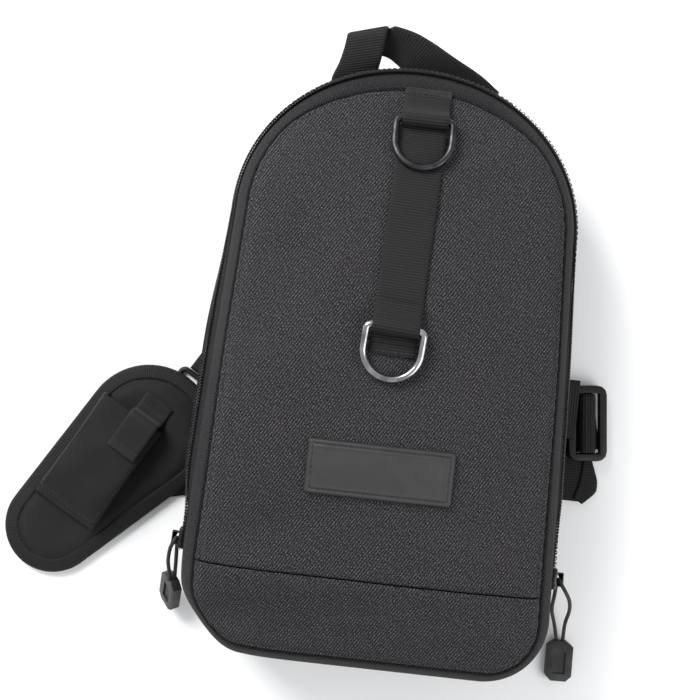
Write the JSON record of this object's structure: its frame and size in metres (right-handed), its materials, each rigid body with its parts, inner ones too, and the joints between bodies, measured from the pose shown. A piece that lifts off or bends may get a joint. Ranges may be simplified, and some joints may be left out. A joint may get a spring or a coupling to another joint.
{
  "type": "fishing tackle sling bag",
  "caption": "Padded sling bag with an arched zipped lid, webbing with hanging rings, a blank rubber patch, a carry handle and a shoulder pad with a pouch",
  "frame": {"origin": "on the ground under the middle of the bag's flat back", "axes": "+X to the wearer's right as the front is seen, +Y up the bag towards its carry handle, +Z out of the front face"},
  "size_m": [0.3835, 0.4053, 0.1114],
  "materials": {
    "bag_cloth": "charcoal twill polyester, coated",
    "pad_cloth": "smooth black woven polyester",
    "webbing": "ribbed black webbing",
    "zip_cloth": "woven zip tape",
    "zip_teeth": "black nylon coil",
    "slider_paint": "black painted cast metal",
    "pull_cord": "braided cord",
    "pull_plastic": "moulded grey plastic",
    "ring_metal": "black nickel plated wire",
    "patch_rubber": "matt moulded rubber",
    "buckle_plastic": "black moulded acetal"
  },
  "bodies": {
    "bag": {"front_panel": "bag_cloth", "lower_panel": "bag_cloth", "rear_shell": "bag_cloth", "zip_tape": "zip_cloth", "zip_chain": "zip_teeth", "zip_slider_left": "slider_paint", "zip_slider_right": "slider_paint", "zip_cord_left": "pull_cord", "zip_cord_right": "pull_cord", "zip_pull_left": "pull_plastic", "zip_pull_right": "pull_plastic", "front_webbing": "webbing", "ring_keeper_upper": "webbing", "ring_keeper_lower": "webbing", "rubber_patch": "patch_rubber", "carry_handle": "webbing", "strap_upper": "webbing", "strap_lower": "webbing", "shoulder_pad": "pad_cloth", "pad_binding": "webbing", "pad_ring": "buckle_plastic", "pad_pocket": "pad_cloth", "pocket_flap": "webbing", "strap_adjuster": "buckle_plastic", "strap_wrap": "webbing", "strap_tab": "webbing", "strap_tail": "webbing"},
    "ring_upper": {"d_ring_upper": "ring_metal"},
    "ring_lower": {"d_ring_lower": "ring_metal"}
  },
  "joints": [
    {"name": "upper_ring_swing", "type": "hinge", "parent": "bag", "child": "ring_upper", "pos_m": [0.00464, 0.156, 0.08077], "axis": [-1, 0, 0], "range_deg": [0, 120]},
    {"name": "lower_ring_swing", "type": "hinge", "parent": "bag", "child": "ring_lower", "pos_m": [0, 0.0305, 0.10707], "axis": [-0.9981, 0.061, 0], "range_deg": [0, 150]}
  ]
}
